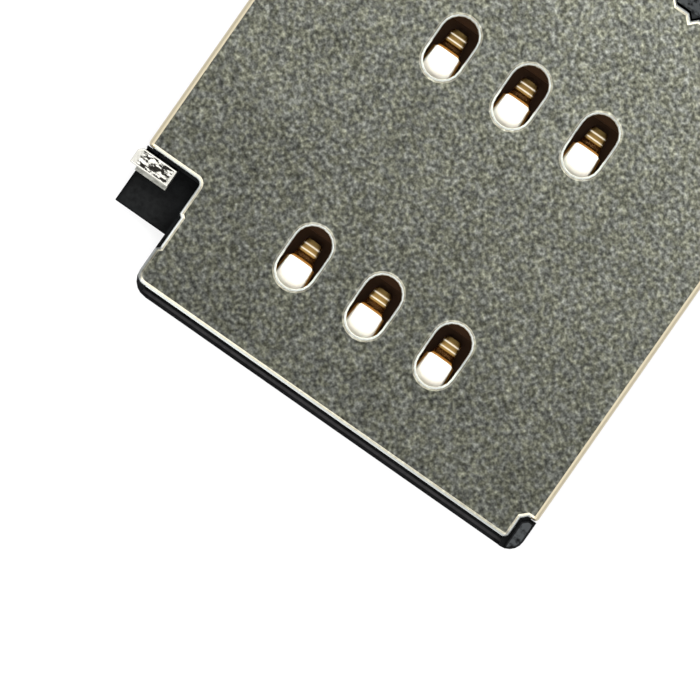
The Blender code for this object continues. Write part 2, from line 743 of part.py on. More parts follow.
def contact(name, x, y_crest, parts, tools):
    """One spring contact: bent strip, trimmed to its blank, edges coined."""
    outline = strip_outline(contact_path(y_crest), CONTACT_STOCK)
    half = CONTACT_ROOT_WIDTH / 2 + POCKET_GAP
    spring = prism(name, [outline], x - half, x + half, parts, "X")
    blank = block(f"{name}_blank", contact_plan(x, y_crest), -BEYOND, TOP, tools)
    combine(spring, blank, "INTERSECT")
    roll_edges(spring, CONTACT_STOCK / 4, 1, lambda place: place.y > y_crest - ARM_LENGTH)
    return spring


def contact_cuts(tools):
    """Pockets above each arm, passages through the floor for the roots, and tail windows."""
    pockets, passages, tails = [], [], []
    half = CONTACT_ARM_WIDTH / 2 + POCKET_GAP
    slot = CONTACT_ROOT_WIDTH / 2 + SEAT_GAP
    for _, x, y in window_centres():
        y_crest = y + CREST_OFFSET
        root_end = y_crest - ARM_LENGTH
        root_start = root_end - ROOT_LENGTH
        tail_end = root_start - TAIL_LENGTH - POCKET_GAP
        far = y_crest + TIP_LENGTH + 2 * POCKET_GAP
        pockets.append(with_arcs(rectangle(x - half, x + half, root_end - SEAT_GAP, far)))
        passages.append(with_arcs(rectangle(x - slot, x + slot, root_start, root_end)))
        tails.append(
            with_arcs(rectangle(x - slot, x + slot, tail_end, root_start + 2 * SEAT_GAP))
        )
    middle = BOARD_GAP + FLOOR / 2 + ROOT_RAISE
    reach = CONTACT_STOCK / 2 + SEAT_GAP
    return [
        prism("contact_pockets", pockets, BOARD_GAP + POCKET_FLOOR, FLOOR_TOP + BEYOND, tools),
        prism("root_passages", passages, middle - reach, middle + reach, tools),
        prism("tail_windows", tails, -BEYOND, FLOOR_TOP + BEYOND, tools),
    ]


def base_housing(parts, tools):
    """Moulded base: floor with shelf, walls, bosses and nubs, cut for all that it holds."""
    base = block("base_housing", base_plan(), BOARD_GAP, BOSS_TOP, parts)
    for cavity in base_cavities(tools):
        combine(base, cavity, "DIFFERENCE")
    for addition in (*snap_nubs(tools), rear_tongue(tools), rod_keeper(tools)):
        combine(base, addition, "UNION")
    pads = [with_arcs(circle(x, y, PAD_RADIUS)) for x, y in pad_places()]
    combine(base, prism("stand_off_pads", pads, 0, BOARD_GAP + FLOOR / 4, tools), "UNION")
    for cut in contact_cuts(tools):
        combine(base, cut, "DIFFERENCE")

    pin_hole = circle(PIVOT_X, PIVOT_Y, PIN_RADIUS + SEAT_GAP)
    combine(base, block("pin_hole", pin_hole, -BEYOND, TOP, tools), "DIFFERENCE")
    marks = [with_arcs(circle(x, y, MARK_RADIUS)) for x, y in mark_places()]
    mark_cuts = prism("ejection_marks", marks, -BEYOND, BOARD_GAP + MARK_DEPTH, tools)
    combine(base, mark_cuts, "DIFFERENCE")
    for name, low, path in switch_slots():
        slot = strip_outline(path, SWITCH_STOCK + 2 * SEAT_GAP)
        combine(base, prism(name, [slot], low, TOP, tools), "DIFFERENCE")
    chamfer = [
        (-BEYOND, FLOOR_TOP - ENTRY_CHAMFER - BEYOND),
        (ENTRY_CHAMFER + SEAT_GAP, FLOOR_TOP + SEAT_GAP),
        (-BEYOND, FLOOR_TOP + SEAT_GAP),
    ]
    left, right = TRAY_LEFT + ENTRY_FLARE, TRAY_RIGHT - ENTRY_FLARE
    combine(base, prism("entry_chamfer", [chamfer], left, right, tools, "X"), "DIFFERENCE")
    roll_edges(base, BOSS_ROLL, 2, on_post_top)
    return base


def push_rod(parts, tools):
    """Ejector rod: strip with its front end bent up as the head, a stop lug and guide bumps."""
    height = ROD_LOW + ROD_STOCK / 2
    bend = ROD_STOCK / 2 + ROD_BEND
    head_y = HEAD_FRONT + ROD_STOCK / 2
    head_top = TOP - HEAD_TOP_SINK
    origin = Vector((ROD_CENTRE, head_y, height))
    path = [(head_y, head_top, 0), (head_y, height, bend), (ROD_END, height, 0)]
    outline = strip_outline(path, ROD_STOCK)
    rod = prism(
        "push_rod", [outline], -HEAD_OVERHANG, ROD_RIGHT + LUG_REACH, parts, "X", origin
    )
    plan = [
        (-BEYOND, HEAD_FRONT - BEYOND, 0),
        (ROD_RIGHT, HEAD_FRONT - BEYOND, 0),
        (ROD_RIGHT, LUG_START, 0),
        (ROD_RIGHT + BEYOND, LUG_START, 0),
        (ROD_RIGHT + BEYOND, LUG_START + LUG_LENGTH, 0),
        (ROD_RIGHT, LUG_START + LUG_LENGTH, 0),
        (ROD_RIGHT, ROD_END + BEYOND, 0),
        (ROD_LEFT, ROD_END + BEYOND, 0),
        (ROD_LEFT, HEAD_BACK, 0),
        (HEAD_CHAMFER - HEAD_OVERHANG, HEAD_BACK, 0),
        (-HEAD_OVERHANG, HEAD_BACK - HEAD_CHAMFER, 0),
        (-BEYOND, HEAD_BACK - HEAD_CHAMFER, 0),
    ]
    combine(rod, block("rod_plan", plan, -BEYOND, TOP + BEYOND, tools, "Z", origin), "INTERSECT")
    pad = rectangle(PAD_LEFT, ROD_RIGHT, HEAD_FRONT - PAD_DEPTH, HEAD_FRONT + ROD_STOCK / 2)
    combine(rod, block("push_pad", pad, ROD_LOW, PAD_TOP, tools, "Z", origin), "UNION")
    bumps = [with_arcs(circle(ROD_CENTRE, y, GUIDE_BUMP_RADIUS)) for y in GUIDE_BUMPS]
    guide = prism("guide_bumps", bumps, height, ROOF - RUNNING_GAP, tools, "Z", origin)
    combine(rod, guide, "UNION")
    roll_edges(rod, HEAD_ROLL, 2, lambda place: abs(place.z + height - head_top) < TOUCH)
    return rod, origin


def lever_plan():
    """The lever's outline about its pivot, halfway through its swing."""
    arm = NOSE_RADIUS
    nose = TRAY_NOSE_RADIUS
    eye = EYE_RADIUS
    front = -TRAY_ARM_DROP - nose
    back = front + 2.1 * nose
    return [
        (-ROD_ARM - arm, -arm, 0.99 * arm),
        (-0.95 * eye, -arm, 0.25 * eye),
        (-0.65 * eye, -eye, 0.50 * eye),
        (0.75 * eye, -eye, 0.50 * eye),
        (1.30 * eye, -0.62 * eye, 0.40 * eye),
        (TRAY_ARM - 1.4 * nose, -1.18 * eye, 0.30 * eye),
        (TRAY_ARM - nose, front, 0.84 * nose),
        (TRAY_ARM + nose, front, 0.90 * nose),
        (TRAY_ARM + nose, back, 0.70 * nose),
        (0.95 * eye, 0.47 * eye, 0.40 * eye),
        (0.75 * eye, eye, 0.50 * eye),
        (-0.70 * eye, eye, 0.50 * eye),
        (-0.95 * eye, arm, 0.25 * eye),
        (-ROD_ARM - arm, arm, 0.99 * arm),
    ]


def eject_lever(parts, tools):
    """Flat lever with an eye on the pin, one nose on the rod's end and one at the tray."""
    lever = block("eject_lever", lever_plan(), LEVER_LOW, LEVER_HIGH, parts)
    eye = circle(0, 0, PIN_RADIUS + RUNNING_GAP)
    combine(lever, block("lever_eye", eye, -BEYOND, TOP, tools), "DIFFERENCE")
    lever.data.transform(Matrix.Rotation(-HALF_SWING, 4, "Z"))
    return lever


def lever_pivot(parts):
    """Headed pin, turned: shank through the base and the lever's eye, head above the lever."""
    head_low = LEVER_HIGH + RUNNING_GAP
    head_high = head_low + PIN_HEAD_HEIGHT
    end = BOARD_GAP + PIN_RAISE
    profile = [
        (0, head_high),
        (PIN_HEAD_RADIUS - PIN_CHAMFER, head_high),
        (PIN_HEAD_RADIUS, head_high - PIN_CHAMFER),
        (PIN_HEAD_RADIUS, head_low),
        (PIN_RADIUS, head_low),
        (PIN_RADIUS, end + PIN_CHAMFER),
        (PIN_RADIUS - PIN_CHAMFER, end),
        (0, end),
    ]
    mesh = bpy.data.meshes.new("lever_pivot")
    points = [(radius * MM, 0, z * MM) for radius, z in profile]
    edges = [(index, index + 1) for index in range(len(points) - 1)]
    mesh.from_pydata(points, edges, [])
    pin = add_object("lever_pivot", mesh, parts)
    turn = pin.modifiers.new("turned", "SCREW")
    turn.steps = 32
    turn.render_steps = 32
    turn.use_merge_vertices = True
    turn.merge_threshold = 1e-6
    return pin


def switch_paths():
    """Centre lines from above of the sensing spring and of the terminal behind it."""
    spring = [
        (SWITCH_X, SWITCH_ANCHOR_Y, 0),
        (SWITCH_X, SWITCH_ARM_Y + SWITCH_LEAN, SWITCH_BEND),
        (SWITCH_NOSE_X + SWITCH_SLOPE, SWITCH_ARM_Y, SWITCH_BEND),
        (SWITCH_NOSE_X, SWITCH_NOSE_Y, SWITCH_STOCK),
        (SWITCH_NOSE_X - SWITCH_SLOPE, SWITCH_ARM_Y - SWITCH_LEAN, 0),
    ]
    terminal = [
        (TERMINAL_X, SWITCH_ANCHOR_Y, 0),
        (TERMINAL_X, TERMINAL_Y, SWITCH_STOCK),
        (TERMINAL_X - TERMINAL_REACH, TERMINAL_Y, 0),
    ]
    return {"detect_spring": spring, "detect_terminal": terminal}


def switch_slots():
    """Slots in the rear block for both switch strips, and holes through the floor for their legs."""
    for name, path in switch_paths().items():
        x = path[0][0]
        back = SWITCH_ANCHOR_Y + SEAT_GAP
        yield f"{name}_slot", SWITCH_LOW - SEAT_GAP, [(x, back, 0), (x, TERMINAL_Y, 0)]
        leg_front = SWITCH_ANCHOR_Y - LEG_LENGTH - SEAT_GAP
        yield f"{name}_leg_hole", -BEYOND, [(x, back, 0), (x, leg_front, 0)]


def switch_strip(name, path, parts, tools):
    """A strip standing on edge, with a leg down to the board."""
    strip = prism(name, [strip_outline(path, SWITCH_STOCK)], SWITCH_LOW, SWITCH_HIGH, parts)
    x = path[0][0]
    foot = [(x, SWITCH_ANCHOR_Y, 0), (x, SWITCH_ANCHOR_Y - LEG_LENGTH, 0)]
    middle = (SWITCH_LOW + SWITCH_HIGH) / 2
    leg = prism(f"{name}_leg", [strip_outline(foot, SWITCH_STOCK)], 0, middle, tools)
    combine(strip, leg, "UNION")
    return strip


def build():
    """Make every part of the socket."""
    clear_scene()
    parts = new_collection("card_socket")
    tools = new_collection("cutting_shapes")
    frame = bpy.data.objects.new("socket_frame", None)
    frame.location = (-SHELL_WIDTH / 2 * MM, -SOCKET_LENGTH / 2 * MM, 0)
    parts.objects.link(frame)

    resin = material("black_resin", (0.016, 0.017, 0.017), 0.45, 0.0)
    steel = material("satin_steel", (0.38, 0.38, 0.35), 0.38, 1.0)
    gold = material("gold_plate", (0.83, 0.58, 0.22), 0.22, 1.0)
    stamped = material("stamped_steel", (0.45, 0.44, 0.41), 0.35, 1.0)

    finish(base_housing(parts, tools), frame, resin)
    finish(cover_shell(parts, tools), frame, steel)
    for name, x, y in window_centres():
        spring = contact(f"contact_{name}", x, y + CREST_OFFSET, parts, tools)
        finish(spring, frame, gold)
    rod, rod_place = push_rod(parts, tools)
    finish(rod, frame, stamped, rod_place)
    finish(eject_lever(parts, tools), frame, stamped, (PIVOT_X, PIVOT_Y, 0))
    finish(lever_pivot(parts), frame, stamped, (PIVOT_X, PIVOT_Y, 0))
    for name, path in switch_paths().items():
        finish(switch_strip(name, path, parts, tools), frame, gold)

    own_places = {
        "rod_plan": rod_place,
        "push_pad": rod_place,
        "guide_bumps": rod_place,
        "lever_eye": (PIVOT_X, PIVOT_Y, 0),
    }
    for tool in tools.objects:
        tool.parent = frame
        tool.location = Vector(own_places.get(tool.name, (0, 0, 0))) * MM


build()
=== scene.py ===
"""Finishes, spring contacts and studio for a board socket with a push-rod ejector."""

import math

import bmesh
import bpy
import numpy as np
from bpy.props import FloatProperty, FloatVectorProperty, IntProperty, PointerProperty
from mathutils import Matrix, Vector


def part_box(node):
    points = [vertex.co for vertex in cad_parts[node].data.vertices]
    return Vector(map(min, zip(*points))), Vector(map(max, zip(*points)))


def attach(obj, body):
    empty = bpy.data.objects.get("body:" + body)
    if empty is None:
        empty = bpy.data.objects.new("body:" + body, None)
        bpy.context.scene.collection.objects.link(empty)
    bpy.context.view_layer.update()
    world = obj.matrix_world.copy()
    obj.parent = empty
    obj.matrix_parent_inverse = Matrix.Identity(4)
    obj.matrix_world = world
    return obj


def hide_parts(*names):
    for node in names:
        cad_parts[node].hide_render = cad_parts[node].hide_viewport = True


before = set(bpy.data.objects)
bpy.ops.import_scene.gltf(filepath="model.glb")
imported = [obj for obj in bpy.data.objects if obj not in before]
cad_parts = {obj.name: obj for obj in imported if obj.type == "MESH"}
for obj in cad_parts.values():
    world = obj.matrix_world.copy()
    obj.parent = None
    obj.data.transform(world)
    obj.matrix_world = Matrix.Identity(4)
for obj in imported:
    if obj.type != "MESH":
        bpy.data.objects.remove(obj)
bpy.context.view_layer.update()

bl_info = {
    "name": "Card Socket",
    "version": (1, 0, 0),
    "blender": (4, 5, 0),
    "location": "3D View > Sidebar > Card Socket",
    "description": "Dresses a board socket for a card tray with its finishes and its studio",
    "category": "Object",
}

MM = 0.001

CONTACTS = (
    "contact_front_left",
    "contact_front_middle",
    "contact_front_right",
    "contact_rear_left",
    "contact_rear_middle",
    "contact_rear_right",
)
SWITCH_STRIPS = ("detect_spring", "detect_terminal")
EJECTOR_PARTS = ("push_rod", "eject_lever", "lever_pivot")

# The CAD's faces that the looks are placed by, in millimetres
COVER_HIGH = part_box("cover_shell")[1]
TOP = COVER_HIGH.z / MM
SIDE = COVER_HIGH.x / MM
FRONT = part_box("base_housing")[0].y / MM

# Every pair (start, end) below says where a look sets in and where it is complete. On x, y and z
# it is in millimetres. On a facing it is the share of the surface's own direction that points
# up, or ahead towards the rear: 1 points straight that way and 0 lies across it.

# Satin sheet: cells of its noises per millimetre, its zones, and its tones
GRAIN_CELLS, PATCH_CELLS, HUE_CELLS, CLOUD_CELLS = 8.6, 3.0, 4.0, 0.35
GRAIN_UP = (0.5, 0.9)
GRAIN_ON_WALLS = 0.35
GRAIN_POWER = 6
FRONT_TONE, TONE_PER_MM = 0.82, 0.023
HUE_SPLIT = (0.35, 0.65)
BLUER = (0.99, 0.99, 1.07)
WARMER = (1.015, 1.00, 0.935)
# Rolled rims: a painted highlight on bare steel, near white, warm beside the flat, cool where steep,
# and wider round the windows
RIM_Z = (TOP - 0.30, TOP - 0.24)
RIM_UP = (0.93, 0.99)
WINDOW_RIM_UP = (0.91, 0.98)
RIM_WARM_UP = (0.70, 0.95)
WINDOWS_X = (5.0, 5.2)
WINDOWS_FRONT_Y = (FRONT + 1.2, FRONT + 1.4)
WINDOWS_REAR_Y = (4.0, 4.2)
# Bends: a warm painted highlight along their outer radius
BEND_X = (SIDE - 0.25, SIDE - 0.22)
# Painted shade on the rims' highlight: along the front, growing to the right, and deepest at the left
# front corner
FRONT_RIM_Y = (FRONT + 0.45, FRONT + 0.60)
FRONT_RIM_SHADE, SHADE_PER_MM = 0.14, 0.03
CORNER_X = (-5.90, -5.80)
CORNER_Y = (-7.45, -7.30)
CORNER_SHADE = 0.70

# Moulded resin: cells per millimetre and zones
RESIN_CELLS, RESIN_CLOUD_CELLS, FIBRE_CELLS = 6.0, 1.3, 9.0
FLAT_UP = (0.9, 0.99)
# Top faces at the cover's height: a painted grey sheen, mottled by noise
TOP_SHEEN_Z = (TOP - 0.09, TOP - 0.065)
MOST_TOP_SHEEN = 1.3
# Pockets: a painted reflection of the gold contacts, brown on their walls
POCKETS_X = (5.0, 5.3)
POCKETS_FRONT_Y = (FRONT + 0.8, FRONT + 1.0)
POCKETS_REAR_Y = (4.0, 4.3)
POCKETS_Z = (0.08, 0.12)
# Shelf: a painted sheen in its middle, fading out towards its edges and its rear
SHELF_LEFT_X = (-7.82, -7.68)
SHELF_RIGHT_X = (-6.7, -6.1)
SHELF_FRONT_Y = (-6.98, -6.88)
SHELF_REAR_Y = (-6.5, -5.8)
# Front lip: a painted sheen along its top face
LIP_FRONT_Y = (FRONT + 0.09, FRONT + 0.12)
LIP_REAR_Y = (FRONT + 0.17, FRONT + 0.21)
LIP_Z = (0.48, 0.50)
LIP_UP = (0.5, 0.9)

# Gold plating: cells per millimetre (across, along and up for the rolling lines) and zones
ROLLING_LINES = (26.0, 2.2, 8.0)
GOLD_CLOUD_CELLS = 2.5
FORMED_Z = (0.40, 0.56)
# Coined tip: painted shade darkens its gold, most at its end
TIP_AHEAD = (0.10, 0.20)
TIP_END_Z = (0.58, 0.66)
TIP_END_SHADE = 0.45
# Drop behind the crest: painted shade, deep gold where it is steepest
DROP_AHEAD = (0.28, 0.45)
STEEP_AHEAD = (0.70, 0.90)
# Crest: a painted highlight, pale and rough, where it faces up
GLINT_UP = (0.72, 0.84)
GLINT_AHEAD = (0.14, 0.24)
# Rolled flanks: painted shade, deep gold
FLANK_UP = (0.55, 0.80)

# Stamped steel: cells per millimetre and zones. The torn end is drawn out by its own scale.
STEEL_CELLS, TORN_CELLS = 6.0, 5.5
TORN_SCALE = (0.8, 1.7, 1.0)
# Pits of the torn end: painted shade, near black
TORN_PITS = (0.41, 0.53)
HEAD_Z = (TOP - 0.12, TOP - 0.09)
HEAD_UP = (0.90, 0.99)
HEAD_LEFT_X = (-SIDE, 0.06 - SIDE)
HEAD_RIGHT_X = (1.08 - SIDE, 1.12 - SIDE)

# Turns about x, y and z, in radians, that keep a noise's own lines off the sheet's edges
ASKEW = (0.52, 0.37, 0.61)

# Contacts, in millimetres: corners of the centre line as (along, up, radius)
TAIL_CORNERS = ((0, 0, 0), (0.43, 0, 0.12), (0.62, 0.20, 0.12))
ROOT_BEFORE_CREST, ROOT_RADIUS = 2.07, 0.25
CREST_CORNERS = (
    (-1.05, -0.190, 1.5),
    (0, 0, 0.10),
    (0.17, -0.445, 0.12),
    (0.66, -0.58, 0),
)
CREST_ROUNDING = 0.025
TAIL_WIDTH, ROOT_WIDTH = 0.60, 1.00
CROWN_FROM_CREST = (-2.0, -1.2)
FLANK_WIDTHS = ((-1.9, 0), (-1.2, 0.13), (-0.10, 0.10), (0.0, 0))
FLANK_DROP = 0.9
RIPPLE_START = (0.22, 0.27)
RIPPLE_END = (0.55, 0.60)
RIPPLE_CREST, RIPPLE_LENGTH = 0.35, 0.18
FILLET_POINTS = 24
FEWEST_POINTS = 8
SHARP_ANGLE = 50
TINY = 1e-6

# Softboxes: name, azimuth and elevation in degrees, distance, width and height in metres, radiance
SOFTBOXES = (
    ("key_softbox", 0, 57, 0.30, 0.56, 0.24, 2.8),
    ("left_softbox", -90, 30, 0.30, 0.50, 0.18, 1.1),
    ("right_softbox", 90, 30, 0.30, 0.50, 0.18, 1.15),
    ("back_softbox", 180, 42, 0.30, 0.56, 0.20, 1.8),
    ("rear_strip", 172, 70, 0.115, 0.10, 0.03, 5.0),
)
WORLD_LIGHT = 0.55
FLOOR_CLOUD_CELLS = 0.02
FLOOR_GLOW = 0.75
FLOOR_REACH = 0.6
FLOOR_GAP = 0.02
SENSOR_WIDTH = 36
CAMERA_NEAR, CAMERA_FAR = 0.01, 10

# The colour mix node has sockets of the same names for numbers, vectors and colours, so those for
# colours go by their places
MIX_SHARE, MIX_FIRST, MIX_SECOND, MIX_RESULT = 0, 6, 7, 2


def colour_property(name, description, default):
    """A colour that a user may change."""
    return FloatVectorProperty(
        name=name, description=description, subtype="COLOR", size=3, min=0, max=1, default=default
    )


def length_property(name, description, default):
    """A length that a user may change, with its default in millimetres and its value in metres."""
    return FloatProperty(
        name=name,
        description=description,
        unit="LENGTH",
        subtype="DISTANCE",
        precision=6,
        default=default * MM,
    )


class SocketSizes(bpy.types.PropertyGroup):
    """Sizes of the formed contacts, the fineness of their surfaces and the camera's view."""

    contact_stock: length_property("Contact stock", "Thickness of the contact strip", 0.12)
    crest_from_tip: length_property("Crest from tip", "From a contact's tip back to its crest", 0.63)
    tip_width: length_property("Tip width", "Width of a contact at its end", 0.58)
    crest_width: length_property("Crest width", "Width of a contact just before its crest", 0.76)
    arm_width: length_property("Arm width", "Width of a contact's spring arm", 0.90)
    crown: length_property("Crown", "How far a contact's middle stands above its edges", 0.010)
    ripple: length_property("Ripple", "Depth of the coined waves on a contact's tip", 0.0027)
    section_gap: length_property("Section gap", "From one section of a contact to the next", 0.022)
    around: IntProperty(name="Steps around", description="Points round a section", default=48)
    picture_width: length_property("Picture width", "What the picture takes in, side to side", 20.83)
    picture_x: length_property("Picture X", "Middle of the picture along X", 0.470)
    picture_y: length_property("Picture Y", "Middle of the picture along Y", -6.651)
    camera_lens: FloatProperty(name="Lens", description="Focal length", unit="CAMERA", default=500)
    camera_turn: FloatProperty(
        name="Turn", description="Turn of the picture", subtype="ANGLE", default=math.radians(35)
    )


class SocketColours(bpy.types.PropertyGroup):
    """Colours of the finishes, and of the painted highlights, shade and reflections on them."""

    sheet: colour_property("Sheet", "Satin steel sheet", (0.134, 0.1385, 0.113))
    # Painted highlight on the cover's rolled rims, warm beside the flat and cool where steep
    rim_highlight_warm: colour_property("Rim top", "Painted highlight on the rolled rim, next to the flat", (0.95, 0.88, 0.68))
    rim_highlight_cool: colour_property("Rim foot", "Painted highlight on the rolled rim, where it is steep", (0.90, 0.94, 0.91))
    # Painted highlight on the cover's bends, warm cream
    bend_highlight: colour_property("Sheet bend", "Warm painted highlight on the bend", (0.52, 0.46, 0.33))
    resin: colour_property("Resin", "Black moulding", (0.0026, 0.0029, 0.0031))
    # Painted reflection of the gold contacts on the pockets' walls
    resin_pocket_gold_reflection: colour_property("Pocket", "Painted gold reflection on the pockets' walls", (0.045, 0.021, 0.009))
    # Painted sheen in the middle of the shelf
    resin_shelf_sheen: colour_property("Shelf sheen", "Painted sheen in the middle of the shelf", (0.0085, 0.0092, 0.0092))
    # Painted sheen on the top faces of the bosses
    resin_boss_sheen: colour_property("Boss sheen", "Painted sheen on the top of a boss", (0.040, 0.0432, 0.0445))
    # Painted sheen along the front lip
    resin_lip_sheen: colour_property("Lip", "Painted sheen along the front lip", (0.036, 0.035, 0.036))
    gold: colour_property("Gold", "Contact plating", (0.85, 0.56, 0.20))
    # Painted highlight on the contacts' crests
    gold_highlight: colour_property("Gold highlight", "Painted highlight on a contact's crest", (1.0, 0.95, 0.84))
    # Painted shade on the coined tips
    gold_tip_shade: colour_property("Gold tip", "Painted shade on the gold of the coined tips", (0.165, 0.108, 0.036))
    # Painted shade on the contacts' rolled flanks
    gold_flank_shade: colour_property("Gold flank", "Painted shade on the gold of the rolled flanks", (0.62, 0.28, 0.06))
    # Painted shade on the drop behind the crest
    gold_drop_shade: colour_property("Gold drop", "Painted shade on the gold just behind the crest", (0.26, 0.105, 0.020))
    sheared: colour_property("Sheared steel", "Bright sheared steel", (0.56, 0.55, 0.50))
    # Painted shade in the pits of the rod head's torn end
    pit_shade: colour_property("Torn steel", "Painted shade in the pits of a sheared end", (0.014, 0.013, 0.011))
    stamped: colour_property("Stamped steel", "Flat faces of stamped parts", (0.30, 0.30, 0.27))
    backdrop: colour_property("Backdrop", "Floor of the studio", (0.90, 0.90, 0.90))


class Value:
    """A number or link in a node tree that Python's operators can add nodes to."""

    def __init__(self, nodes, socket):
        self.nodes = nodes
        self.socket = socket

    def _maths(self, operation, *values):
        return self.nodes.add("ShaderNodeMath", {"operation": operation}, dict(enumerate(values)))

    def __add__(self, other):
        return self._maths("ADD", self, other)

    def __radd__(self, other):
        return self._maths("ADD", other, self)

    def __sub__(self, other):
        return self._maths("SUBTRACT", self, other)

    def __rsub__(self, other):
        return self._maths("SUBTRACT", other, self)

    def __mul__(self, other):
        return self._maths("MULTIPLY", self, other)

    def __rmul__(self, other):
        return self._maths("MULTIPLY", other, self)

    def __pow__(self, other):
        return self._maths("POWER", self, other)

    def __abs__(self):
        return self._maths("ABSOLUTE", self)

    def least(self, other):
        """The smaller of two values."""
        return self._maths("MINIMUM", self, other)

    def most(self, other):
        """The larger of two values."""
        return self._maths("MAXIMUM", self, other)

    def sway(self, amount):
        """A noise between 0 and 1, moved to vary about 0 by half the amount each way."""
        return amount * (self - 0.5)

    def step(self, start, end):
        """0 up to start, 1 from end, and a smooth rise between them."""
        settings = {"interpolation_type": "SMOOTHSTEP"}
        values = {"Value": self, "From Min": start, "From Max": end}
        return self.nodes.add("ShaderNodeMapRange", settings, values, "Result")

    def fall(self, start, end):
        """1 up to start, 0 from end, and a smooth fall between them."""
        return 1 - self.step(start, end)

    def band(self, rise, fall):
        """1 between two edges, each a pair (start, end), and 0 beyond them."""
        return self.step(*rise) * self.fall(*fall)

    def output(self, name):
        """Another output of the node that this value comes from."""
        return Value(self.nodes, self.socket.node.outputs[name])


class Nodes:
    """A node tree, with the one method that adds nodes to it."""

    def __init__(self, tree):
        self.tree = tree

    def put(self, socket, value):
        """Links a value to a socket, or sets a plain number or colour on it."""
        if isinstance(value, Value):
            self.tree.links.new(value.socket, socket)
        elif socket.type == "RGBA":
            socket.default_value = (*value[:3], 1.0)
        else:
            socket.default_value = value

    def add(self, kind, settings, values, output=0):
        """Adds a node, applies its settings, then its sockets, and returns one output."""
        node = self.tree.nodes.new(kind)
        for setting, value in settings.items():
            setattr(node, setting, value)
        for socket, value in values.items():
            self.put(node.inputs[socket], value)
        return Value(self, node.outputs[output])


class Finish(Nodes):
    """A material with one Principled shader, and the nodes that its patterns are made of."""

    def __init__(self, name):
        self.material = bpy.data.materials.new(name)
        self.material.use_nodes = True
        super().__init__(self.material.node_tree)
        self.shader = self.tree.nodes["Principled BSDF"]

    def mapped(self, vector, **values):
        """A vector after a mapping node's Scale or Rotation."""
        return self.add("ShaderNodeMapping", {}, {"Vector": vector, **values}, "Vector")

    def place(self):
        """The position on the object in millimetres, as a vector."""
        spot = self.add("ShaderNodeTexCoord", {}, {}, "Object")
        return self.mapped(spot, Scale=(1 / MM, 1 / MM, 1 / MM))

    def parts(self, vector):
        """The three components of a vector."""
        x = self.add("ShaderNodeSeparateXYZ", {}, {0: vector}, "X")
        return x, x.output("Y"), x.output("Z")

    def facing(self):
        """The three components of the surface's own direction."""
        return self.parts(self.add("ShaderNodeTexCoord", {}, {}, "Normal"))

    def noise(self, place, scale, detail=2.0, rough=0.55):
        """Cloudy noise, scale in cells per millimetre."""
        values = {"Vector": place, "Scale": scale, "Detail": detail, "Roughness": rough}
        return self.add("ShaderNodeTexNoise", {}, values, "Fac")

    def specks(self, place, scale):
        """Distance to the nearest of scattered points, scale in points per millimetre."""
        return self.add("ShaderNodeTexVoronoi", {}, {"Vector": place, "Scale": scale}, "Distance")

    def mix(self, share, first, second):
        """Blend of two colours."""
        values = {MIX_SHARE: share, MIX_FIRST: first, MIX_SECOND: second}
        return self.add("ShaderNodeMix", {"data_type": "RGBA"}, values, MIX_RESULT)

    def tint(self, colour, amount):
        """A colour made lighter or darker by an amount around 1."""
        grey = self.add("ShaderNodeCombineXYZ", {}, {"X": amount, "Y": amount, "Z": amount})
        values = {0: colour, 1: grey}
        return self.add("ShaderNodeVectorMath", {"operation": "MULTIPLY"}, values, "Vector")

    def bump(self, height, depth):
        """A surface direction bent by a height between 0 and 1, depth in millimetres."""
        return self.add("ShaderNodeBump", {}, {"Height": height, "Distance": depth * MM}, "Normal")

    def set(self, **values):
        """Sets the shader's sockets, with underscores for spaces in their names."""
        for name, value in values.items():
            self.put(self.shader.inputs[name.replace("_", " ")], value)
        return self.material


